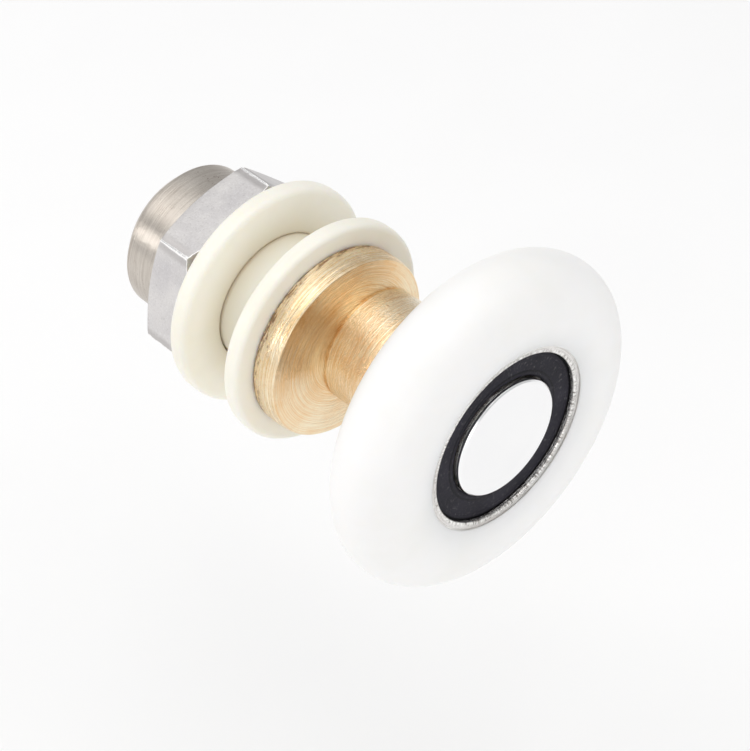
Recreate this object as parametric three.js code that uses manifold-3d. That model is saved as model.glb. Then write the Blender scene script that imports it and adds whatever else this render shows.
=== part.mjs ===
// Sliding door roller: a nylon-tyred ball-bearing wheel on an eccentric brass
// axle that clamps through a round hole in a glass door panel.
//
// Units are millimetres, +Z up. The clamp axis runs along Y through the origin,
// which is the centre of the bush flange's face that bears on the panel.
// The wheel is on the -Y side of the panel and the nut on the +Y side.

import * as THREE from 'three';
import { mergeVertices } from 'three/addons/utils/BufferGeometryUtils.js';
import Module from 'manifold-3d';

const wasm = await Module();
wasm.setup();

// ---------------------------------------------------------------- dimensions
const WHEEL_R = 12.5;            // tyre tread radius
const TYRE_HALF_W = 3.15;        // half of the tyre's width
const TYRE_CROWN_R = 8.86;       // radius where the tyre is widest
const TYRE_BORE_R = 8.03;        // seat of the bearing
const LIP_R = 7.0;               // inner edge of the two retaining lips
const WHEEL_Y = -13.7;           // middle plane of the wheel
const ECC = 2.33;                // offset of the wheel axis from the clamp axis
const ECC_ANGLE = -22.6;         // direction of that offset, degrees from +X towards +Z

const BRG_R = 8.0;               // bearing 5 x 16 x 5
const BRG_BORE_R = 2.5;
const BRG_HALF_W = 2.5;
const OUTER_LAND_R = 6.45;
const INNER_LAND_R = 4.3;
const PITCH_R = 5.45;
const BALL_R = 1.18;
const BALLS = 8;
const SEAL_IN_R = 4.5;
const SEAL_OUT_R = 6.64;
const SEAL_FACE = 2.1;           // seal face, from the bearing's middle plane
const SEAL_T = 0.35;

const FLANGE_R = 6.9;            // brass flange against the bush
const FLANGE_Y0 = -3.3, FLANGE_Y1 = -1.3;
const NECK_R = 4.33;
const PIN_R = 2.46;
const STUD_R = 3.96;             // M8 thread, major radius
const STUD_END = 12.7;
const SLOT_W = 1.2, SLOT_DEPTH = 1.4;

const RIVET_HEAD_R = 4.42, RIVET_HEAD_T = 0.3, RIVET_SHANK_R = 1.44, RIVET_BORE_R = 1.5;

const BUSH_FLANGE_R = 8.4, BUSH_FLANGE_T = 1.3;
const SLEEVE_R = 4.95, SLEEVE_END = 4.7, BUSH_BORE_R = 4.1;
const GAP = 4.12;                // clamp gap at rest, between bush and rear washer
const WASHER_R = 8.42, WASHER_T = 1.45, WASHER_BORE_R = 5.07;
const STEEL_W_R = 6.6, STEEL_W_T = 0.4, STEEL_W_BORE_R = 4.25;
const HEX_AF = 13.55, HEX_T = 3.75, HEX_ANGLE = 17;
const HEX_FACE_R = 7.2;          // bearing face of the nut, its corners only just broken
const HEX_BACK_R = 6.43;         // collar side, with the larger chamfer
const COLLAR_R = 5.65, COLLAR_END = 14.3, COLLAR_CHAMFER = 0.9;
const NUT_BORE_R = 4.05;
const FIT_GAP = 0.03;            // play left between stacked loose pieces

// ------------------------------------------------------------------- helpers
const rad = (d) => (d * Math.PI) / 180;

function clean(geometry) {
  let g = geometry.clone();
  g.deleteAttribute('normal');
  g.deleteAttribute('uv');
  g = mergeVertices(g, 1e-4);
  const pos = g.attributes.position, idx = g.index.array, out = [];
  let vol = 0;
  const a = new THREE.Vector3(), b = new THREE.Vector3(), c = new THREE.Vector3();
  for (let i = 0; i < idx.length; i += 3) {
    const [p, q, r] = [idx[i], idx[i + 1], idx[i + 2]];
    if (p === q || q === r || p === r) continue;
    out.push(p, q, r);
    a.fromBufferAttribute(pos, p); b.fromBufferAttribute(pos, q); c.fromBufferAttribute(pos, r);
    vol += a.dot(b.clone().cross(c)) / 6;
  }
  if (vol < 0) for (let i = 0; i < out.length; i += 3) [out[i], out[i + 1]] = [out[i + 1], out[i]];
  g.setIndex(out);
  return g;
}

// turned piece about the Y axis; the profile is a list of [radius, y]
function turned(profile, segments = 40, closed = true) {
  const pts = profile.map(([r, y]) => new THREE.Vector2(r, y));
  if (closed) pts.push(pts[0].clone());
  return clean(new THREE.LatheGeometry(pts, segments));
}

function toSolid(geometry) {
  const g = clean(geometry);
  return new wasm.Manifold(new wasm.Mesh({
    numProp: 3,
    vertProperties: new Float32Array(g.attributes.position.array),
    triVerts: new Uint32Array(g.index.array),
  }));
}

function fromSolid(solid) {
  const m = solid.getMesh();
  const g = new THREE.BufferGeometry();
  const n = m.vertProperties.length / m.numProp, xyz = new Float32Array(n * 3);
  for (let i = 0; i < n; i++) for (let k = 0; k < 3; k++) xyz[i * 3 + k] = m.vertProperties[i * m.numProp + k];
  g.setAttribute('position', new THREE.BufferAttribute(xyz, 3));
  g.setIndex(Array.from(m.triVerts));
  return clean(g);
}

const at = (geometry, x, y, z) => geometry.clone().translate(x, y, z);

function mesh(name, geometry, colour, roughness, metalness) {
  const g = geometry.clone();
  g.computeVertexNormals();
  const m = new THREE.Mesh(g, new THREE.MeshStandardMaterial({ color: colour, roughness, metalness }));
  m.name = name;
  return m;
}

// ------------------------------------------------------------------ assembly
const roller = new THREE.Group();
const ex = ECC * Math.cos(rad(ECC_ANGLE)), ez = ECC * Math.sin(rad(ECC_ANGLE));

// everything centred on the wheel axis, with y = 0 in the wheel's middle plane
const wheel = new THREE.Group();
wheel.position.set(ex, WHEEL_Y, ez);
roller.add(wheel);

// tyre: rounded tread, and a lip on each side that retains the bearing
{
  const outer = [];
  for (let i = 0; i <= 12; i++) {
    const t = -Math.PI / 2 + (Math.PI * i) / 12;
    outer.push([TYRE_CROWN_R + (WHEEL_R - TYRE_CROWN_R) * Math.cos(t), TYRE_HALF_W * Math.sin(t)]);
  }
  const lip = [[7.9, 3.08], [7.15, 2.9], [LIP_R, 2.75], [LIP_R, BRG_HALF_W + 0.02]];
  const seat = [[TYRE_BORE_R, BRG_HALF_W + 0.02], [TYRE_BORE_R, -BRG_HALF_W - 0.02]];
  const lipBack = lip.map(([r, y]) => [r, -y]).reverse();
  wheel.add(mesh('tyre', turned([...outer, ...lip, ...seat, ...lipBack], 48), '#f2f1ee', 0.35, 0));
}

// bearing rings, with ball grooves and seal seats
{
  const half = [[OUTER_LAND_R, 2.5], [OUTER_LAND_R, 2.18], [6.7, 2.12], [6.7, 1.72], [6.35, 1.62], [6.35, 0.82], [6.55, 0.55], [6.67, 0]];
  const inner = [...half, ...half.slice(0, -1).reverse().map(([r, y]) => [r, -y])];
  wheel.add(mesh('bearing_outer_ring', turned([[BRG_R - 0.15, -2.5], [BRG_R, -2.35], [BRG_R, 2.35], [BRG_R - 0.15, 2.5], ...inner], 36), '#d3d3d6', 0.22, 1));
}
{
  const front = -BRG_HALF_W + RIVET_HEAD_T, back = BRG_HALF_W;
  const groove = [[INNER_LAND_R, 1.6], [INNER_LAND_R, 0.42], [4.22, 0], [INNER_LAND_R, -0.42], [INNER_LAND_R, -1.6]];
  wheel.add(mesh('bearing_inner_ring', turned([[BRG_BORE_R, front], [BRG_BORE_R, back], [INNER_LAND_R - 0.1, back], [INNER_LAND_R, back - 0.1], ...groove, [INNER_LAND_R, front]], 40), '#cfcfd3', 0.2, 1));
}

// balls
for (let i = 0; i < BALLS; i++) {
  const a = (2 * Math.PI * i) / BALLS + rad(11);
  const ball = mesh(`ball_${i + 1}`, clean(new THREE.SphereGeometry(BALL_R, 12, 8)), '#d9dadd', 0.08, 1);
  ball.position.set(PITCH_R * Math.cos(a), 0, PITCH_R * Math.sin(a));
  wheel.add(ball);
}

// ribbon cage: two pressed halves that wrap the balls and meet between them
{
  const ring = toSolid(turned([[5.0, 0.04], [5.9, 0.04], [5.9, 1.6], [5.0, 1.6]], 24));
  const web = toSolid(turned([[4.9, 0.0], [6.0, 0.0], [6.0, 0.26], [4.9, 0.26]], 16));
  let shell = web, pockets = null;
  for (let i = 0; i < BALLS; i++) {
    const a = (2 * Math.PI * i) / BALLS + rad(11), x = PITCH_R * Math.cos(a), z = PITCH_R * Math.sin(a);
    shell = shell.add(toSolid(at(new THREE.SphereGeometry(BALL_R + 0.34, 10, 6), x, 0, z)));
    const p = toSolid(at(new THREE.SphereGeometry(BALL_R + 0.14, 8, 6), x, 0, z));
    pockets = pockets ? pockets.add(p) : p;
  }
  const half = fromSolid(ring.intersect(shell).subtract(pockets));
  const other = clean(half.clone().scale(1, -1, 1));
  wheel.add(mesh('cage_half_rear', half, '#b9b2a4', 0.4, 1));
  wheel.add(mesh('cage_half_front', other, '#b9b2a4', 0.4, 1));
}

// seals, held in the outer ring's seats and clear of the inner ring
for (const [name, s] of [['front_seal', -1], ['rear_seal', 1]]) {
  const y1 = SEAL_FACE, y0 = SEAL_FACE - SEAL_T;
  const profile = [[SEAL_IN_R, y0], [SEAL_OUT_R, y0], [SEAL_OUT_R, y1 - 0.06], [OUTER_LAND_R - 0.08, y1], [SEAL_IN_R + 0.08, y1], [SEAL_IN_R, y1 - 0.08]];
  wheel.add(mesh(name, turned(profile.map(([r, y]) => [r, s * y]), 40), '#2b2a2e', 0.55, 0));
}

// rivet whose flat head finishes level with the bearing
{
  const f = -BRG_HALF_W, h = f + RIVET_HEAD_T;
  const profile = [[0, f - 0.04], [RIVET_HEAD_R - 0.9, f - 0.03], [RIVET_HEAD_R - 0.12, f], [RIVET_HEAD_R, f + 0.1], [RIVET_HEAD_R, h - 0.01], [RIVET_SHANK_R, h - 0.01], [RIVET_SHANK_R, 4.2], [RIVET_SHANK_R - 0.3, 4.5], [0, 4.5]];
  wheel.add(mesh('axle_rivet', turned(profile, 40, false), '#e8e8ea', 0.12, 1));
}

// eccentric axle: flange and stud on the clamp axis, neck and pin on the wheel axis
{
  const flange = toSolid(turned([[0, FLANGE_Y1], [FLANGE_R - 0.15, FLANGE_Y1], [FLANGE_R, FLANGE_Y1 - 0.15], [FLANGE_R, FLANGE_Y0 + 0.1], [FLANGE_R - 0.1, FLANGE_Y0], [0, FLANGE_Y0]], 48, false));
  const stud = toSolid(turned([[0, -2.2], [STUD_R, -2.2], [STUD_R, STUD_END - 0.7], [STUD_R - 0.7, STUD_END], [0, STUD_END]], 40, false));
  const ringBack = WHEEL_Y + BRG_HALF_W;
  const neck = toSolid(at(turned([[0, FLANGE_Y0 + 0.8], [NECK_R, FLANGE_Y0 + 0.8], [NECK_R, ringBack + 0.35], [NECK_R - 0.15, ringBack + 0.2], [3.7, ringBack + 0.2], [3.7, ringBack + 0.01], [PIN_R, ringBack + 0.01], [PIN_R, WHEEL_Y - BRG_HALF_W + RIVET_HEAD_T + 0.1], [0, WHEEL_Y - BRG_HALF_W + RIVET_HEAD_T + 0.1]], 40, false), ex, 0, ez));
  const bore = toSolid(at(turned([[0, WHEEL_Y - 4], [RIVET_BORE_R, WHEEL_Y - 4], [RIVET_BORE_R, WHEEL_Y + 4.8], [0, WHEEL_Y + 4.8]], 32, false), ex, 0, ez));
  const slot = toSolid(at(new THREE.BoxGeometry(2 * STUD_R + 2, 2 * SLOT_DEPTH, SLOT_W), 0, STUD_END, 0));
  roller.add(mesh('eccentric_axle', fromSolid(flange.add(stud).add(neck).subtract(bore).subtract(slot)), '#cfa063', 0.32, 1));
}

// flanged bush: its sleeve lines the hole in the panel
roller.add(mesh('flanged_bush', turned([
  [BUSH_BORE_R, -BUSH_FLANGE_T], [BUSH_FLANGE_R - 0.4, -BUSH_FLANGE_T], [BUSH_FLANGE_R - 0.1, -BUSH_FLANGE_T + 0.15], [BUSH_FLANGE_R, -BUSH_FLANGE_T + 0.45],
  [BUSH_FLANGE_R, -0.45], [BUSH_FLANGE_R - 0.1, -0.15], [BUSH_FLANGE_R - 0.4, 0], [SLEEVE_R, 0],
  [SLEEVE_R, SLEEVE_END - 0.2], [SLEEVE_R - 0.2, SLEEVE_END], [BUSH_BORE_R, SLEEVE_END]], 48), '#f3f0e4', 0.45, 0));

// rear clamp washer, which slides on the sleeve to suit the panel
{
  const y0 = GAP, y1 = GAP + WASHER_T;
  roller.add(mesh('rear_washer', turned([
    [WASHER_BORE_R, y0], [WASHER_R - 0.45, y0], [WASHER_R - 0.12, y0 + 0.18], [WASHER_R, y0 + 0.5],
    [WASHER_R, y1 - 0.5], [WASHER_R - 0.12, y1 - 0.18], [WASHER_R - 0.45, y1], [WASHER_BORE_R, y1]], 48), '#f3f0e4', 0.45, 0));
}

// thin steel washer under the nut
const steelY = GAP + WASHER_T + FIT_GAP;
roller.add(mesh('nut_washer', turned([[STEEL_W_BORE_R, steelY], [STEEL_W_R, steelY], [STEEL_W_R, steelY + STEEL_W_T], [STEEL_W_BORE_R, steelY + STEEL_W_T]], 40), '#cfcfcf', 0.3, 1));

// hexagon nut with a turned collar on its outer end
{
  const y0 = steelY + STEEL_W_T + FIT_GAP, y1 = y0 + HEX_T, rc = HEX_AF / Math.sqrt(3);
  const shape = new THREE.Shape();
  for (let i = 0; i < 6; i++) {
    const a = rad(-HEX_ANGLE + 60 * i);
    const p = [rc * Math.cos(a), rc * Math.sin(a)];
    if (i) shape.lineTo(...p); else shape.moveTo(...p);
  }
  shape.closePath();
  // extruded along Z, then laid along Y
  const prism = new THREE.ExtrudeGeometry(shape, { depth: HEX_T, bevelEnabled: false, steps: 1 });
  prism.rotateX(-Math.PI / 2).translate(0, y0, 0);
  const front = 0.58 * (rc + 0.2 - HEX_FACE_R), back = 0.45 * (rc + 0.2 - HEX_BACK_R);
  const chamfer = turned([[0, y0], [HEX_FACE_R, y0], [rc + 0.2, y0 + front], [rc + 0.2, y1 - back], [HEX_BACK_R, y1], [0, y1]], 48, false);
  const collar = turned([[0, y1 - 1], [COLLAR_R, y1 - 1], [COLLAR_R, COLLAR_END - COLLAR_CHAMFER], [COLLAR_R - COLLAR_CHAMFER, COLLAR_END], [0, COLLAR_END]], 48, false);
  const bore = turned([[0, y0 - 1], [NUT_BORE_R + 0.5, y0 - 1], [NUT_BORE_R + 0.5, y0], [NUT_BORE_R, y0 + 0.5], [NUT_BORE_R, COLLAR_END - 0.5], [NUT_BORE_R + 0.5, COLLAR_END], [NUT_BORE_R + 0.5, COLLAR_END + 1], [0, COLLAR_END + 1]], 40, false);
  const nut = toSolid(prism).intersect(toSolid(chamfer)).add(toSolid(collar)).subtract(toSolid(bore));
  roller.add(mesh('hex_nut', fromSolid(nut), '#c9c5c0', 0.35, 1));
}

export default roller;
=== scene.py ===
import math
import bmesh
import bpy
from mathutils import Matrix, Vector


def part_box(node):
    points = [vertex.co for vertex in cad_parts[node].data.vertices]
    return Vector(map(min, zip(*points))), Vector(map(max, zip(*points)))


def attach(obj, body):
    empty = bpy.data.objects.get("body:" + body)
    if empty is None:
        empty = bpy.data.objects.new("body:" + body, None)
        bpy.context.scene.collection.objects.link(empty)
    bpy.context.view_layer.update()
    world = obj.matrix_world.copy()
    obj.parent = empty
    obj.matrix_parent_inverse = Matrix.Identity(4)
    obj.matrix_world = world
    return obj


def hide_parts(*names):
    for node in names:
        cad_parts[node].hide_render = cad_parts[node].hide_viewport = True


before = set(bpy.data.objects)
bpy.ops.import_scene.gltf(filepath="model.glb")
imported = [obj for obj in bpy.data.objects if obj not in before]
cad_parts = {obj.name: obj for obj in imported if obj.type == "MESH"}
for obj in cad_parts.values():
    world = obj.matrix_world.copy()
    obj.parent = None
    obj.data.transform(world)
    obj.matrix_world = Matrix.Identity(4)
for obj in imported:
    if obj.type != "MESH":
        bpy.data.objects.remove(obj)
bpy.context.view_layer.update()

MM = 0.001
scene = bpy.context.scene


# ------------------------------------------------------------------ mesh tools
def box_mm(node):
    lo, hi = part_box(node)
    return [c / MM for c in lo], [c / MM for c in hi]


def rounded(profile, steps=4, support=0.03):
    """[(r, y, fillet)] -> points with each corner rounded, and a holding point on both sides of each fillet."""
    out = []
    n = len(profile)
    closed = not (abs(profile[0][0]) < 1e-9 and abs(profile[-1][0]) < 1e-9)
    for i, p in enumerate(profile):
        f = p[2] if len(p) > 2 else 0
        if (not closed and i in (0, n - 1)) or f <= 0:
            out.append((p[0], p[1]))
            continue
        a, b, c = Vector(profile[i - 1][:2]), Vector(p[:2]), Vector(profile[(i + 1) % n][:2])
        d1, d2 = (a - b), (c - b)
        l1, l2 = d1.length, d2.length
        d1.normalize(), d2.normalize()
        ang = math.acos(max(-1, min(1, d1.dot(d2))))
        if ang > math.radians(176):
            out.append((p[0], p[1]))
            continue
        t = min(f / math.tan(ang / 2), 0.42 * l1, 0.42 * l2)
        s = min(support, 0.06 * l1, 0.06 * l2)
        out.append(tuple(b + d1 * (t + s)))
        for k in range(steps + 1):
            w = k / steps
            # quadratic arc between the two tangent points
            q = (b + d1 * t) * (1 - w) ** 2 + b * (2 * w * (1 - w)) + (b + d2 * t) * w ** 2
            out.append(tuple(q))
        out.append(tuple(b + d2 * (t + s)))
    return out


def make_object(name, verts, faces, mats, face_mat=None, angle=32):
    me = bpy.data.meshes.new(name)
    me.from_pydata([(x * MM, y * MM, z * MM) for x, y, z in verts], [], faces)
    me.validate()
    bm = bmesh.new()
    bm.from_mesh(me)
    bmesh.ops.remove_doubles(bm, verts=bm.verts, dist=1e-8)
    bmesh.ops.recalc_face_normals(bm, faces=bm.faces)
    if bm.calc_volume(signed=True) < 0:
        bmesh.ops.reverse_faces(bm, faces=bm.faces)
    bm.to_mesh(me)
    bm.free()
    for m in mats:
        me.materials.append(m)
    if face_mat:
        for p in me.polygons:
            c = p.center / MM
            p.material_index = face_mat(c, p.normal)
    me.shade_smooth()
    me.set_sharp_from_angle(angle=math.radians(angle))
    ob = bpy.data.objects.new(name, me)
    scene.collection.objects.link(ob)
    return ob


def turned(name, profile, mats, centre=(0, 0), n=160, face_mat=None, warp=None, angle=32):
    """A piece turned about Y through centre. warp(r, y, a) -> (r, y) shapes single columns."""
    verts, faces, rows = [], [], []
    on_axis = abs(profile[0][0]) < 1e-9 and abs(profile[-1][0]) < 1e-9
    for r, y in profile:
        if abs(r) < 1e-9:
            rows.append([len(verts)])
            verts.append((centre[0], y, centre[1]))
            continue
        row = []
        for i in range(n):
            a = 2 * math.pi * i / n
            rr, yy = warp(r, y, a) if warp else (r, y)
            row.append(len(verts))
            verts.append((centre[0] + rr * math.cos(a), yy, centre[1] + rr * math.sin(a)))
        rows.append(row)
    m = len(rows)
    for j in range(m if not on_axis else m - 1):
        A, B = rows[j], rows[(j + 1) % m]
        for i in range(n):
            k = (i + 1) % n
            if len(A) == 1 and len(B) == 1:
                break
            if len(A) == 1:
                faces.append((A[0], B[k], B[i]))
            elif len(B) == 1:
                faces.append((A[i], A[k], B[0]))
            else:
                faces.append((A[i], A[k], B[k], B[i]))
    return make_object(name, verts, faces, mats, face_mat, angle)


def boolean(ob, other, op):
    m = ob.modifiers.new("b", "BOOLEAN")
    m.operation = op
    m.solver = "EXACT"
    m.object = other
    bpy.context.view_layer.update()
    dg = bpy.context.evaluated_depsgraph_get()
    me = bpy.data.meshes.new_from_object(ob.evaluated_get(dg))
    ob.modifiers.clear()
    ob.data = me
    bpy.data.objects.remove(other)
    return ob


# ------------------------------------------------------------- material tools
class Nodes:
    def __init__(self, name):
        self.mat = bpy.data.materials.new(name)
        self.mat.use_nodes = True
        self.t = self.mat.node_tree
        self.t.nodes.clear()
        self.out = self.t.nodes.new("ShaderNodeOutputMaterial")
        self.bsdf = self.t.nodes.new("ShaderNodeBsdfPrincipled")
        self.link(self.bsdf.outputs[0], self.out.inputs[0])
        self.coord = self.t.nodes.new("ShaderNodeTexCoord").outputs["Object"]

    def link(self, a, b):
        self.t.links.new(a, b)

    def put(self, value, socket):
        if isinstance(value, bpy.types.NodeSocket):
            self.link(value, socket)
        else:
            socket.default_value = value

    def math(self, op, a, b=0.0, c=None, clamp=False):
        n = self.t.nodes.new("ShaderNodeMath")
        n.operation = op
        n.use_clamp = clamp
        self.put(a, n.inputs[0])
        self.put(b, n.inputs[1])
        if c is not None:
            self.put(c, n.inputs[2])
        return n.outputs[0]

    def vmath(self, op, a, b=(0, 0, 0)):
        n = self.t.nodes.new("ShaderNodeVectorMath")
        n.operation = op
        self.put(a, n.inputs[0])
        self.put(b, n.inputs[1])
        return n.outputs["Value"] if op in ("LENGTH", "DOT_PRODUCT") else n.outputs[0]

    def split(self, v):
        n = self.t.nodes.new("ShaderNodeSeparateXYZ")
        self.put(v, n.inputs[0])
        return n.outputs

    def noise(self, vector=None, w=None, scale=5.0, detail=2.0, rough=0.5, dims="3D"):
        n = self.t.nodes.new("ShaderNodeTexNoise")
        n.noise_dimensions = dims
        if dims != "1D":
            self.put(vector if vector is not None else self.coord, n.inputs["Vector"])
        if dims in ("1D", "4D"):
            self.put(w, n.inputs["W"])
        n.inputs["Scale"].default_value = scale
        n.inputs["Detail"].default_value = detail
        n.inputs["Roughness"].default_value = rough
        return n.outputs["Fac"]

    def ramp(self, fac, stops):
        n = self.t.nodes.new("ShaderNodeValToRGB")
        self.put(fac, n.inputs[0])
        e = n.color_ramp.elements
        while len(e) < len(stops):
            e.new(0.5)
        for el, (pos, col) in zip(e, stops):
            el.position = pos
            el.color = (*col, 1) if len(col) == 3 else col
        return n.outputs[0]

    def remap(self, v, a, b, c, d):
        n = self.t.nodes.new("ShaderNodeMapRange")
        self.put(v, n.inputs[0])
        for i, x in zip(range(1, 5), (a, b, c, d)):
            n.inputs[i].default_value = x
        return n.outputs[0]

    def mix(self, fac, a, b, mode="MIX"):
        n = self.t.nodes.new("ShaderNodeMix")
        n.data_type = "RGBA"
        n.blend_type = mode
        self.put(fac, n.inputs[0])
        for v, s in ((a, n.inputs[6]), (b, n.inputs[7])):
            self.put((*v, 1) if isinstance(v, tuple) and len(v) == 3 else v, s)
        return n.outputs[2]

    def bump(self, height, strength, distance, normal=None):
        n = self.t.nodes.new("ShaderNodeBump")
        n.inputs["Strength"].default_value = strength
        n.inputs["Distance"].default_value = distance
        self.put(height, n.inputs["Height"])
        if normal is not None:
            self.link(normal, n.inputs["Normal"])
        return n.outputs[0]

    def radial(self, centre):
        """(radius in mm, y in mm, offset vector) about the Y axis through centre."""
        p = self.vmath("SUBTRACT", self.coord, (centre[0] * MM, 0, centre[1] * MM))
        s = self.split(p)
        r = self.math("SQRT", self.math("ADD", self.math("MULTIPLY", s[0], s[0]), self.math("MULTIPLY", s[2], s[2])))
        return self.math("MULTIPLY", r, 1000.0), self.math("MULTIPLY", s[1], 1000.0), p

    def tangent(self, offset):
        """Direction of the tool marks: round the Y axis."""
        t = self.vmath("NORMALIZE", self.vmath("CROSS_PRODUCT", (0, 1, 0), offset))
        n = self.t.nodes.new("ShaderNodeVectorTransform")
        n.vector_type = "VECTOR"
        n.convert_from = "OBJECT"
        n.convert_to = "WORLD"
        self.link(t, n.inputs[0])
        self.link(n.outputs[0], self.bsdf.inputs["Tangent"])

    def set(self, **kw):
        for k, v in kw.items():
            self.put(v, self.bsdf.inputs[k.replace("_", " ")])


def srgb(r, g, b):
    f = lambda c: c / 12.92 if c <= 0.04045 else ((c + 0.055) / 1.055) ** 2.4
    return (f(r / 255), f(g / 255), f(b / 255))


def turned_metal(name, light, dark, rough, centre, aniso=0.6, pitch=9.0, groove=0.25, streak=0.5, speck=0.2, spots=0.0, spot_col=(0.1, 0.05, 0.02), wear=0.12, edge=None, crimp_shade_and_glints=None, glint=1.0, run=1.6):
    """Lathe-cut metal: feed marks and broken streaks round the axis, fine specks, faint stains and a few dark pits."""
    m = Nodes(name)
    r, y, off = m.radial(centre)
    p = m.split(off)
    inv = m.math("DIVIDE", 1000.0, m.math("MAXIMUM", r, 0.2))
    nx, nz = m.math("MULTIPLY", p[0], inv), m.math("MULTIPLY", p[2], inv)
    s = m.math("ADD", m.math("ADD", r, y), m.math("MULTIPLY", m.noise(scale=900, detail=2), 0.04))

    def around(length, width):
        """Noise drawn out round the axis: length and width of a mark in mm at a radius of 6 mm."""
        n = m.t.nodes.new("ShaderNodeCombineXYZ")
        m.put(m.math("MULTIPLY", nx, 6.0 / length), n.inputs[0])
        m.put(m.math("MULTIPLY", nz, 6.0 / length), n.inputs[1])
        m.put(m.math("MULTIPLY", s, 1.0 / width), n.inputs[2])
        return n.outputs[0]

    fine = m.noise(w=s, scale=pitch, detail=3, rough=0.65, dims="1D")
    streaks = m.noise(vector=around(run, 0.07), scale=1.0, detail=4, rough=0.62)
    specks = m.noise(vector=around(0.22, 0.13), scale=1.0, detail=3, rough=0.6)
    cloud = m.noise(scale=260, detail=4, rough=0.6)
    grain = m.noise(scale=6000, detail=2)
    fac = m.math("ADD", m.math("MULTIPLY", fine, 0.3), m.math("ADD", m.math("MULTIPLY", streaks, 0.35), m.math("MULTIPLY", cloud, 0.35)))
    col = m.ramp(fac, [(0.36, dark), (0.6, light)])
    dots = m.remap(specks, 0.6, 0.74, 0.0, speck)
    col = m.mix(dots, col, dark)
    if spots > 0:
        pit = m.noise(vector=around(0.5, 0.2), scale=1.0, detail=4, rough=0.72)
        pit = m.remap(pit, 0.7 - 0.1 * spots, 0.78 - 0.1 * spots, 0.0, 0.9)
        band = m.remap(m.noise(scale=380, detail=2), 0.46, 0.6, 0.0, 1.0)
        if edge is not None:
            near = m.remap(m.math("ABSOLUTE", m.math("SUBTRACT", y, edge[0])), 0.0, edge[1], 1.0, 0.0)
            rough_edge = m.remap(m.math("ADD", m.noise(vector=around(0.7, 0.16), scale=1.0, detail=4, rough=0.7), m.math("MULTIPLY", near, 0.28)), 0.62, 0.76, 0.0, 0.8)
            col = m.mix(m.math("MULTIPLY", rough_edge, m.remap(near, 0.0, 0.35, 0.0, 1.0)), col, spot_col)
        col = m.mix(m.math("MULTIPLY", pit, band), col, spot_col)
    # painted shade and painted glints: dark and near-white dots in a band between the two given radii, imitating a
    # serrated crimp edge
    if crimp_shade_and_glints is not None:
        t = m.noise(vector=around(0.15, 0.3), scale=1.0, detail=2, rough=0.6)
        band = m.math("MULTIPLY", m.remap(r, crimp_shade_and_glints[0] - 0.03, crimp_shade_and_glints[0] + 0.03, 0.0, 1.0), m.remap(r, crimp_shade_and_glints[1] - 0.08, crimp_shade_and_glints[1] + 0.04, 1.0, 0.0))
        col = m.mix(m.math("MULTIPLY", band, m.remap(t, 0.54, 0.62, 0.0, 0.6)), col, srgb(104, 97, 90))
        col = m.mix(m.math("MULTIPLY", band, m.remap(t, 0.5, 0.42, 0.0, 0.9)), col, srgb(254, 253, 250))
    rg = m.math("ADD", m.math("MULTIPLY", m.math("SUBTRACT", streaks, 0.5), wear), m.math("MULTIPLY", m.math("SUBTRACT", cloud, 0.5), wear))
    m.set(Base_Color=col, Metallic=1.0, Roughness=m.math("ADD", rg, rough, clamp=True))
    m.bsdf.inputs["Anisotropic"].default_value = aniso
    m.bsdf.inputs["Anisotropic Rotation"].default_value = 0.25
    b = m.bump(fine, groove, 0.00004)
    b = m.bump(streaks, streak, 0.00003, b)
    b = m.bump(specks, speck, 0.00003 * glint, b)
    b = m.bump(grain, 0.06, 0.00001, b)
    m.set(Normal=b)
    if aniso > 0:
        m.tangent(off)
    return m.mat


def nylon(name, light, shade, rough, sss, radius, bumpiness=0.12, corner=None):
    """Moulded nylon: slight translucence, mottling, fine surface grain and a few scuffs. corner=(radius, y) is where a
    painted warm shade is laid round that corner.
    """
    m = Nodes(name)
    cloud = m.noise(scale=170, detail=4, rough=0.55)
    grain = m.noise(scale=4200, detail=3, rough=0.6)
    scuff = m.noise(vector=m.vmath("MULTIPLY", m.coord, (1, 6, 1)), scale=700, detail=5, rough=0.7)
    col = m.mix(m.remap(cloud, 0.35, 0.7, 0, 1), light, shade)
    if corner is not None:
        r, y, _ = m.radial((0.0, 0.0))
        dr, dy = m.math("SUBTRACT", r, corner[0]), m.math("SUBTRACT", y, corner[1])
        d = m.math("SQRT", m.math("ADD", m.math("MULTIPLY", dr, dr), m.math("MULTIPLY", dy, dy)))
        d = m.math("ADD", d, m.math("MULTIPLY", m.math("SUBTRACT", cloud, 0.5), 0.5))
        # painted shade: a broad warm tan darkening out to about 2.4 mm from the corner circle, and a brown line right
        # at the corner
        col = m.mix(m.math("POWER", m.remap(d, 0.0, 2.4, 0.6, 0.0), 1.5), col, srgb(216, 200, 164))
        col = m.mix(m.remap(d, 0.0, 0.26, 0.35, 0.0), col, srgb(190, 154, 104))
    m.set(Base_Color=col, Metallic=0.0,
          Roughness=m.math("ADD", m.remap(scuff, 0.35, 0.7, -0.05, 0.09), rough, clamp=True))
    m.bsdf.inputs["Subsurface Weight"].default_value = sss
    m.bsdf.inputs["Subsurface Radius"].default_value = radius
    m.bsdf.inputs["Subsurface Scale"].default_value = 0.0012
    m.bsdf.inputs["IOR"].default_value = 1.5
    b = m.bump(grain, bumpiness, 0.00001)
    b = m.bump(scuff, bumpiness * 0.5, 0.00002, b)
    m.set(Normal=b)
    return m.mat


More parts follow.
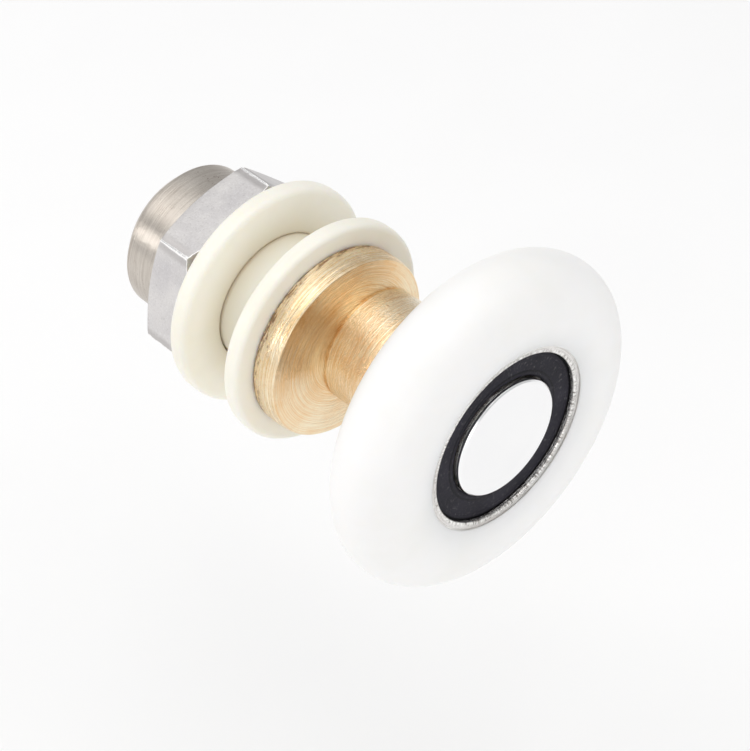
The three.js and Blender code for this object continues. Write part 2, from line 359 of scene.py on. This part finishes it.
def rubber(name):
    """Nitrile seal: matte, slightly mottled, with fine moulding grain and a little pale dust."""
    m = Nodes(name)
    cloud = m.noise(scale=520, detail=4)
    grain = m.noise(scale=5200, detail=4, rough=0.7)
    col = m.mix(m.remap(m.math("ADD", m.math("MULTIPLY", cloud, 0.6), m.math("MULTIPLY", grain, 0.4)), 0.35, 0.7, 0, 1), srgb(24, 23, 31), srgb(44, 42, 52))
    dust = m.remap(m.noise(scale=4200, detail=4, rough=0.75), 0.58, 0.7, 0.0, 0.5)
    col = m.mix(dust, col, srgb(120, 118, 118))
    r, y, _ = m.radial(E)
    # painted shade: near-black bands along the seal's outer edge (radius 6.5) and inner edge (radius 4.9), where it
    # meets the rings
    seal_edge_shade = m.math("MAXIMUM", m.remap(m.math("ABSOLUTE", m.math("SUBTRACT", r, 6.5)), 0.1, 0.22, 0.8, 0.0), m.remap(m.math("ABSOLUTE", m.math("SUBTRACT", r, 4.9)), 0.04, 0.12, 0.6, 0.0))
    col = m.mix(seal_edge_shade, col, srgb(9, 8, 10))
    m.set(Base_Color=col, Metallic=0.0, Roughness=m.remap(grain, 0.3, 0.7, 0.55, 0.75))
    m.bsdf.inputs["Specular IOR Level"].default_value = 0.22
    m.set(Normal=m.bump(grain, 0.6, 0.00003))
    return m.mat


def plated_flat(name, corner, edge):
    """Plated, barrel-finished flats of the nut: matte grey, fine sparkle, small dents; painted highlights along the
    corners and chamfer edges, with painted shade beside them.
    """
    m = Nodes(name)
    r, y, off = m.radial((0.0, 0.0))
    cloud = m.noise(scale=300, detail=3)
    grain = m.noise(scale=6500, detail=4, rough=0.75)
    dent = m.noise(scale=1500, detail=2)
    col = m.mix(m.remap(cloud, 0.35, 0.68, 0, 1), srgb(222, 219, 217), srgb(200, 197, 198))
    col = m.mix(m.remap(grain, 0.54, 0.72, 0, 0.45), col, srgb(246, 246, 247))
    col = m.mix(m.remap(grain, 0.44, 0.32, 0, 0.5), col, srgb(168, 164, 164))
    # radius with a little dent noise, placing the painted ridge highlight and the painted shade band beside it
    ridge_radius = m.math("ADD", r, m.math("MULTIPLY", m.math("SUBTRACT", dent, 0.5), 0.12))
    # painted shade: a grey band just inside each hex corner
    grey = m.remap(ridge_radius, corner - 0.34, corner - 0.2, 0.0, 0.55)
    col = m.mix(grey, col, srgb(176, 172, 170))
    # painted highlight: a near-white line along each hex corner, which also lowers the roughness there
    ridge_highlight = m.remap(ridge_radius, corner - 0.1, corner - 0.05, 0.0, 1.0)
    col = m.mix(ridge_highlight, col, srgb(253, 252, 251))
    # painted shade: a dark band on the flat right at the chamfer edge; painted highlight: a near-white line just
    # beside it
    cone = m.math("SUBTRACT", m.math("SUBTRACT", y, edge[0]), m.math("MULTIPLY", m.math("SUBTRACT", r, edge[1]), edge[2]))
    lip = m.remap(m.math("ABSOLUTE", m.math("SUBTRACT", cone, 0.06)), 0.02, 0.05, 0.9, 0.0)
    face = m.math("MULTIPLY", m.remap(cone, 0.012, 0.03, 0.75, 0.0), m.remap(r, edge[1], edge[1] + 0.05, 0.0, 1.0))
    col = m.mix(face, col, srgb(150, 140, 130))
    col = m.mix(m.math("MULTIPLY", lip, m.remap(r, edge[1] + 0.1, edge[1] + 0.2, 0.0, 1.0)), col, srgb(252, 251, 250))
    rough = m.math("SUBTRACT", m.remap(grain, 0.3, 0.7, 0.36, 0.52), m.math("MULTIPLY", ridge_highlight, 0.2))
    m.set(Base_Color=col, Metallic=1.0, Roughness=rough)
    b = m.bump(grain, 0.4, 0.00002)
    b = m.bump(dent, 0.2, 0.00006, b)
    m.set(Normal=b)
    return m.mat


# ------------------------------------------------------------------ positions
t_lo, t_hi = box_mm("tyre")
WX, WY, WZ = [(a + b) / 2 for a, b in zip(t_lo, t_hi)]
WR = (t_hi[0] - t_lo[0]) / 2
TW = (t_hi[1] - t_lo[1]) / 2
C = (0.0, 0.0)
E = (WX, WZ)
HALF = 2.5
b_lo, b_hi = box_mm("flanged_bush")
w_lo, w_hi = box_mm("rear_washer")
s_lo, s_hi = box_mm("nut_washer")
n_lo, n_hi = box_mm("hex_nut")
BUSH_R, WASH_R, STEEL_R = (b_hi[0] - b_lo[0]) / 2, (w_hi[0] - w_lo[0]) / 2, (s_hi[0] - s_lo[0]) / 2

# ------------------------------------------------------------------ materials
white_nylon = nylon("white_nylon", srgb(250, 249, 248), srgb(246, 245, 242), 0.34, 0.35, (1.0, 0.9, 0.8), 0.08)
# corner=(4.98, 4.12): painted warm shade where the sleeve meets the clamp washer
ivory_nylon = nylon("ivory_nylon", srgb(246, 243, 233), srgb(240, 236, 223), 0.42, 0.35, (1.0, 0.8, 0.5), 0.1, corner=(4.98, 4.12))
brass_light, brass_dark = srgb(250, 233, 196), srgb(236, 205, 150)
brass_main = turned_metal("turned_brass", srgb(255, 244, 216), srgb(234, 178, 104), 0.2, C, aniso=0.88, pitch=14, groove=0.6, streak=0.2, speck=0.25, spots=0.3, spot_col=srgb(140, 90, 40), glint=1.0, run=5.0)
brass_rim = turned_metal("turned_brass_rim", srgb(253, 242, 216), srgb(224, 182, 122), 0.27, C, aniso=0.8, pitch=6, groove=0.5, streak=0.6, speck=1.0, spots=0.9, spot_col=srgb(112, 68, 30), wear=0.25, edge=(-1.32, 0.75))
brass_neck = turned_metal("turned_brass_neck", srgb(255, 247, 224), srgb(232, 186, 124), 0.19, E, aniso=0.7, pitch=9, groove=0.6, streak=0.5, speck=1.0, spots=0.3, spot_col=srgb(140, 90, 40), glint=1.6, run=3.0)
steel_ring = turned_metal("bearing_steel", srgb(253, 252, 250), srgb(196, 191, 186), 0.2, E, aniso=0.3, pitch=10, groove=1.0, streak=0.9, speck=1.2, spots=0.7, spot_col=srgb(104, 98, 92), crimp_shade_and_glints=(6.4, 6.72))
steel_polished = turned_metal("polished_steel", srgb(253, 253, 253), srgb(249, 249, 250), 0.2, E, aniso=0.0, pitch=5, groove=0.04, streak=0.04, speck=0.02, wear=0.04)
steel_collar = turned_metal("plated_collar", srgb(214, 207, 198), srgb(178, 168, 158), 0.3, C, aniso=0.94, pitch=3.5, groove=0.55, streak=0.55, speck=0.35, spots=1.0, spot_col=srgb(120, 96, 80), wear=0.12)
steel_washer = turned_metal("plated_washer", srgb(232, 230, 226), srgb(204, 200, 194), 0.25, C, aniso=0.3, pitch=8, groove=0.2, streak=0.3, speck=0.2)
steel_cage = turned_metal("cage_steel", srgb(200, 194, 182), srgb(168, 160, 148), 0.38, E, aniso=0.0, pitch=4, groove=0.2, streak=0.3, speck=0.3)
nut_flat = plated_flat("plated_flat", 13.55 / math.sqrt(3) - 0.03, (n_lo[1], 7.2, 0.58))
seal_rubber = rubber("seal_rubber")

for node, mat in {"bearing_inner_ring": steel_ring, "cage_half_front": steel_cage, "cage_half_rear": steel_cage}.items():
    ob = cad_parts[node]
    ob.data.materials.clear()
    ob.data.materials.append(mat)


def done(ob, body, slot, *nodes):
    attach(ob, body)
    if nodes:
        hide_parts(*nodes)
    return ob


# ----------------------------------------------------------------------- tyre
crown = 8.86


def dish(r):
    return 0.5 * (max(0.0, 9.8 - r) / 2.8) ** 1.9


prof = []
for i in range(65):
    t = -math.pi / 2 + math.pi * i / 64
    r = crown + (WR - crown) * math.cos(t)
    prof.append((r, WY + TW * math.sin(t) - math.copysign(dish(r), math.sin(t))))
lip = [(8.86 - 0.1 * k, TW - dish(8.86 - 0.1 * k)) for k in range(1, 18)] + [(7.09, 2.66), (7.04, 2.64), (7.01, 2.61), (7.0, 2.58), (7.0, HALF + 0.03)]
prof += [(r, WY + y) for r, y in lip]
prof += [(8.02, WY + HALF + 0.02), (8.02, WY - HALF - 0.02)]
prof += [(r, WY - y) for r, y in reversed(lip)]
tyre = turned("tyre_shell", prof, [white_nylon], E, n=224, angle=50)
done(tyre, "wheel", "white_nylon", "tyre")

# -------------------------------------------------------------------- bearing
half = [(6.45, 2.5, 0.12), (6.45, 2.18, 0.03), (6.7, 2.12, 0.03), (6.7, 1.72, 0.03), (6.35, 1.62, 0.05), (6.35, 0.86, 0.05)]
groove = [(math.sqrt(max(0, 1.22 ** 2 - yy ** 2)) + 5.45, yy) for yy in [0.8, 0.65, 0.5, 0.35, 0.18, 0, -0.18, -0.35, -0.5, -0.65, -0.8]]
prof = [(7.85, -2.5, 0.05), (8.0, -2.35, 0.05), (8.0, 2.35, 0.05), (7.85, 2.5, 0.05)] + half + groove + [(r, -y, f) for r, y, f in reversed(half)]
ring = turned("outer_ring", [(r, WY + y) for r, y in rounded(prof)], [steel_ring], E, n=200)
done(ring, "wheel", "bearing_steel", "bearing_outer_ring")

inner_half = [(4.2, 2.5, 0.05), (4.3, 2.4, 0.05), (4.3, 0.62, 0.03)]
igroove = [(5.45 - math.sqrt(max(0, 1.22 ** 2 - yy ** 2)), yy) for yy in [0.4, 0.2, 0, -0.2, -0.4]]
prof = [(2.5, -2.2, 0.05), (2.5, 2.5, 0.08)] + inner_half + igroove + [(4.3, -0.62, 0.03), (4.3, -2.2, 0.03)]
inner = turned("inner_ring", [(r, WY + y) for r, y in rounded(prof)], [steel_ring], E, n=144)
done(inner, "axle", "bearing_steel", "bearing_inner_ring")

for name, s in (("front_seal", -1), ("rear_seal", 1)):
    prof = [(4.5, 1.78, 0.04), (6.6, 1.78, 0.04), (6.62, 2.04, 0.04), (6.4, 2.06, 0.03), (6.34, 2.1, 0.03), (6.1, 2.1, 0.02), (6.06, 2.075, 0.02),
            (4.98, 2.075, 0.02), (4.94, 2.1, 0.03), (4.66, 2.1, 0.06), (4.5, 2.0, 0.05)]
    seal = turned(name + "_rubber", [(r, WY + s * y) for r, y in rounded(prof)], [seal_rubber], E, n=176, angle=40)
    done(seal, "wheel", "seal_rubber", name)

for i in range(1, 9):
    lo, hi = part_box(f"ball_{i}")
    c = (lo + hi) / 2
    r = (hi.y - lo.y) / 2
    bm = bmesh.new()
    bmesh.ops.create_icosphere(bm, subdivisions=4, radius=r)
    bmesh.ops.translate(bm, verts=bm.verts, vec=c)
    me = bpy.data.meshes.new(f"steel_ball_{i}")
    bm.to_mesh(me)
    bm.free()
    me.materials.append(steel_ring)
    me.shade_smooth()
    ball = bpy.data.objects.new(f"steel_ball_{i}", me)
    scene.collection.objects.link(ball)
    done(ball, "cage", "bearing_steel", f"ball_{i}")

# ---------------------------------------------------------------------- rivet
prof = [(0, -2.545), (1.6, -2.542, 0.3), (3.6, -2.53, 0.4), (4.3, -2.5, 0.08), (4.42, -2.4, 0.05), (4.42, -2.22, 0.03), (1.44, -2.22, 0.03), (1.44, 4.2, 0.05), (1.14, 4.5, 0.05), (0, 4.5)]
rivet = turned("rivet_head", [(r, WY + y) for r, y in rounded(prof, 5)], [steel_polished], E, n=160)
done(rivet, "axle", "polished_steel", "axle_rivet")

# ----------------------------------------------------------------------- axle
FY0, FY1, FR = -3.3, -1.3, 6.9
PITCH = 1.25
a_lo, a_hi = box_mm("eccentric_axle")
END = a_hi[1]
thread = []
y = 3.0
while y < END - 0.75:
    thread.append((3.96, y))
    y += PITCH / 14
prof = rounded([(0, FY0), (FR - 0.16, FY0, 0.04), (FR - 0.07, FY0 + 0.1, 0.04), (FR - 0.045, FY0 + 0.52, 0.03), (FR, FY0 + 0.58, 0.03), (FR, FY1 - 0.15, 0.05), (FR - 0.15, FY1, 0.05), (3.96, FY1, 0.05), (3.96, 2.6, 0.05), (3.96, 2.95)] + thread + [(3.96, END - 0.7, 0.05), (3.3, END, 0.1), (0, END)])


def thread_cut(r, yy, a):
    if yy < 3.0 or yy > END - 0.3 or abs(r - 3.96) > 0.2:
        return r, yy
    ph = ((yy / PITCH - a / (2 * math.pi)) % 1.0)
    v = abs(ph - 0.5) * 2          # 0 at the root, 1 at the crest
    depth = 0.62 * max(0.0, min(1.0, 1 - (v - 0.1) / 0.76))
    fade = max(0.0, min(1.0, (yy - 3.0) / 0.6))
    return r - depth * fade, yy


body = turned("axle_body", prof, [brass_main, brass_neck], C, n=128, warp=thread_cut)
back = WY + HALF
prof = [(0, FY0 + 0.5), (4.2, FY0 + 0.5, 0.01), (4.2, FY0 - 0.08, 0.01), (4.33, FY0 - 0.15, 0.02), (4.33, back + 0.35, 0.05), (4.18, back + 0.2, 0.03), (3.7, back + 0.2, 0.03), (3.7, back + 0.01, 0.02), (2.46, back + 0.01, 0.02), (2.46, WY - HALF + 0.4, 0.05),
        (1.5, WY - HALF + 0.4, 0.03), (1.5, WY + 4.8, 0.05), (0, WY + 4.8)]
neck = turned("axle_neck", rounded(prof), [brass_neck], E, n=160)
boolean(body, neck, "UNION")
bm = bmesh.new()
bmesh.ops.create_cube(bm, size=1)
bmesh.ops.scale(bm, vec=(0.0105, 0.0028, 0.0012), verts=bm.verts)
bmesh.ops.translate(bm, vec=(0, END * MM, 0), verts=bm.verts)
me = bpy.data.meshes.new("slot_tool")
bm.to_mesh(me)
bm.free()
tool = bpy.data.objects.new("slot_tool", me)
scene.collection.objects.link(tool)
boolean(body, tool, "DIFFERENCE")
me = body.data
me.materials.clear()
me.materials.append(brass_main)
me.materials.append(brass_neck)
me.materials.append(brass_rim)
for p in me.polygons:
    c = p.center / MM
    onneck = c.y < FY0 - 0.02 or (c.y < FY0 + 0.02 and math.hypot(c.x - E[0], c.z - E[1]) < 4.3)
    onrim = FY0 + 0.01 < c.y < FY1 - 0.01 and math.hypot(c.x, c.z) > FR - 0.2
    p.material_index = 1 if onneck else (2 if onrim else 0)
me.shade_smooth()
me.set_sharp_from_angle(angle=math.radians(32))
body.name = "axle_turning"
done(body, "axle", "turned_brass", "eccentric_axle")

# ------------------------------------------------------------- nylon clamp set
bt = -b_lo[1]
prof = [(4.1, -bt, 0.08), (BUSH_R, -bt, 0.42), (BUSH_R, 0, 0.42), (4.95, 0, 0.06), (4.95, b_hi[1], 0.18), (4.1, b_hi[1], 0.08)]
bush = turned("bush_moulding", rounded(prof, 7), [ivory_nylon], C, n=176, angle=50)
done(bush, "bush", "ivory_nylon", "flanged_bush")

prof = [(5.005, w_lo[1], 0.08), (WASH_R, w_lo[1], 0.5), (WASH_R, w_hi[1], 0.5), (5.005, w_hi[1], 0.08)]


def bore_offset(r, yy, a):
    """The washer hangs a little to one side on the sleeve, so the gap opens toward -x."""
    if r > 5.3:
        return r, yy
    return r + 0.045 * math.cos(a - math.radians(188)) * max(0.0, 1 - (r - 5.005) / 0.3), yy


washer = turned("clamp_washer", rounded(prof, 8), [ivory_nylon], C, n=176, angle=50, warp=bore_offset)
done(washer, "rear_washer", "ivory_nylon", "rear_washer")

prof = [(4.25, s_lo[1], 0.05), (STEEL_R, s_lo[1], 0.08), (STEEL_R, s_hi[1], 0.08), (4.25, s_hi[1], 0.05)]
shim = turned("steel_washer", rounded(prof), [steel_washer], C, n=160)
done(shim, "nut_washer", "plated_steel", "nut_washer")

# ------------------------------------------------------------------------ nut
AF, HEX_T, HEX_A = 13.55, 3.75, math.radians(17)
Y0, Y2 = n_lo[1], n_hi[1]
Y1 = Y0 + HEX_T
CR, BORE, CH = 5.65, 4.05, 0.9
FACE_R, BACK_R = 7.2, 6.43


def hex_r(a):
    # rounded hexagon: flat distance AF/2, corners eased with a 0.25 mm radius
    d = ((a - HEX_A + math.pi / 6) % (math.pi / 3)) - math.pi / 6      # angle from the nearest corner
    d = math.pi / 6 - abs(d)                                           # angle from the middle of the flat
    flat = AF / 2 / math.cos(d)
    cr = 0.22
    cd = (AF / 2 - cr) / math.cos(math.pi / 6)                         # centre of the corner arc
    b = math.pi / 6 - d
    disc = cr ** 2 - (cd * math.sin(b)) ** 2
    if disc > 0:
        arc = cd * math.cos(b) + math.sqrt(disc)
        if arc < flat:
            return arc
    return flat



def nut_column(a):
    """Profile of the nut in the half-plane at angle a: bearing face, flat, chamfers, collar and threaded bore."""
    h = hex_r(a)
    ra = min(h, FACE_R)
    lo, hi = Y0 + max(0.0, h - FACE_R) * 0.58, Y1 - (h - BACK_R) * 0.45
    pts = [(BORE + 0.5, Y0), (6.2, Y0), (ra - 0.06, Y0), (ra - 0.012, Y0 + 0.006)]
    pts += [(h - 0.004, lo + 0.018), (h, lo + 0.06)]
    for k in range(1, 6):
        pts.append((h, lo + 0.06 + (hi - lo - 0.12) * k / 6))
    pts += [(h, hi - 0.06), (h - 0.006, hi - 0.005), (h - 0.05, hi + 0.035)]
    pts += [(BACK_R + 0.04, Y1 - 0.03), (BACK_R, Y1 - 0.004), (BACK_R - 0.05, Y1)]
    pts += [(CR + 0.12, Y1), (CR + 0.03, Y1 + 0.02), (CR, Y1 + 0.09)]
    top = Y2 - CH
    for k in range(1, 7):
        pts.append((CR, Y1 + 0.09 + (top - 0.1 - Y1 - 0.09) * k / 7))
    pts += [(CR, top - 0.1), (CR - 0.02, top - 0.02), (CR - 0.08, top + 0.08)]
    pts += [(CR - CH + 0.08, Y2 - 0.08), (CR - CH + 0.01, Y2 - 0.02), (CR - CH - 0.08, Y2)]
    pts += [(BORE + 0.56, Y2), (BORE + 0.5, Y2 - 0.02)]
    y = Y2 - 0.5
    pts.append((BORE + 0.03, y))
    while y > Y0 + 0.6:
        ph = ((y / PITCH - a / (2 * math.pi)) % 1.0)
        v = abs(ph - 0.5) * 2
        depth = 0.42 * max(0.0, min(1.0, 1 - (v - 0.1) / 0.76))
        fade = min(1.0, (Y2 - 0.5 - y) / 0.3 + 0.15)
        pts.append((BORE + depth * fade, y))
        y -= PITCH / 12
    pts.append((BORE, Y0 + 0.5))
    return pts


N = 240
verts, faces = [], []
cols = [nut_column(2 * math.pi * i / N + HEX_A) for i in range(N)]
K = len(cols[0])
for i, col in enumerate(cols):
    a = 2 * math.pi * i / N + HEX_A
    verts += [(r * math.cos(a), yy, r * math.sin(a)) for r, yy in col]
for i in range(N):
    j = (i + 1) % N
    for k in range(K):
        l = (k + 1) % K
        faces.append((i * K + k, j * K + k, j * K + l, i * K + l))


def nut_mat(c, nrm):
    r = math.hypot(c.x, c.z)
    if r < BORE + 0.6:
        return 1
    if c.y > Y1 - 0.001:
        return 1
    return 0


nut = make_object("nut_body", verts, faces, [nut_flat, steel_collar], nut_mat, angle=28)
done(nut, "nut", "plated_steel", "hex_nut")

# --------------------------------------------------------------- floor, light
floor_z = (t_lo[2] - 35.0) * MM
fm = Nodes("floor_paper")
fn = fm.noise(scale=60, detail=3)
fm.set(Base_Color=fm.mix(fm.remap(fn, 0.3, 0.7, 0, 1), (0.955, 0.955, 0.955), (0.965, 0.965, 0.965)), Roughness=0.9)
fm.bsdf.inputs["Specular IOR Level"].default_value = 0.15
me = bpy.data.meshes.new("floor")
me.from_pydata([(-3, -3, floor_z), (3, -3, floor_z), (3, 3, floor_z), (-3, 3, floor_z)], [], [(0, 1, 2, 3)])
me.materials.append(fm.mat)
floor = bpy.data.objects.new("floor", me)
scene.collection.objects.link(floor)


def area(name, pos, target, size, watts, col=(1, 1, 1), size_y=None):
    d = bpy.data.lights.new(name, "AREA")
    d.shape = "RECTANGLE"
    d.size = size
    d.size_y = size_y or size
    d.energy = watts
    d.color = col
    o = bpy.data.objects.new(name, d)
    o.location = pos
    o.rotation_euler = (Vector(target) - Vector(pos)).to_track_quat("-Z", "Y").to_euler()
    scene.collection.objects.link(o)
    return o


world = bpy.data.worlds.new("studio")
scene.world = world
world.use_nodes = True
world.node_tree.nodes["Background"].inputs[0].default_value = (0.985, 0.99, 1.0, 1)
world.node_tree.nodes["Background"].inputs[1].default_value = 0.598

area("side_box", (-0.385, 0.285, 0.125), (0, 0, 0), 0.1, 0.26, (1, 0.99, 0.98), 0.07)
area("upper_left_box", (-0.24, 0.34, 0.38), (0, 0, 0), 0.26, 0.38, (1, 0.99, 0.975))
area("left_box", (-0.558, 0.075, 0.19), (0, 0, 0), 0.13, 0.04, (1, 0.99, 0.975))
area("front_left_box", (-0.35, -0.55, 0.1), (0, 0, 0), 0.36, 0.62, (1, 0.99, 0.975))
area("top_box", (0.12, -0.35, 0.75), (0, 0, 0), 0.7, 1.35, (1, 0.99, 0.975))
area("over_box", (-0.1, 0.1, 0.75), (0, 0, 0), 0.6, 1.4, (1, 0.99, 0.975))

# --------------------------------------------------------------------- camera
cam = bpy.data.cameras.new("camera")
cam.sensor_width = 36.0
cam.sensor_height = 36.0
cam.sensor_fit = "AUTO"
cam.lens = 110.253
cam.clip_start = 0.005
cam.clip_end = 20
camo = bpy.data.objects.new("camera", cam)
az, el = math.radians(-43.6405), math.radians(42.7147)
back_v = Vector((math.sin(az) * math.cos(el), -math.cos(az) * math.cos(el), math.sin(el)))
right_v = Vector((math.cos(az), math.sin(az), 0))
up_v = back_v.cross(right_v)
rot = Matrix((right_v, up_v, back_v)).transposed().to_4x4()
camo.matrix_world = Matrix.Translation(Vector((-0.0784933, -0.0882426, 0.1042843))) @ rot
scene.collection.objects.link(camo)
scene.camera = camo

scene.view_settings.view_transform = "Standard"
scene.view_settings.look = "None"
scene.view_settings.exposure = 0.0
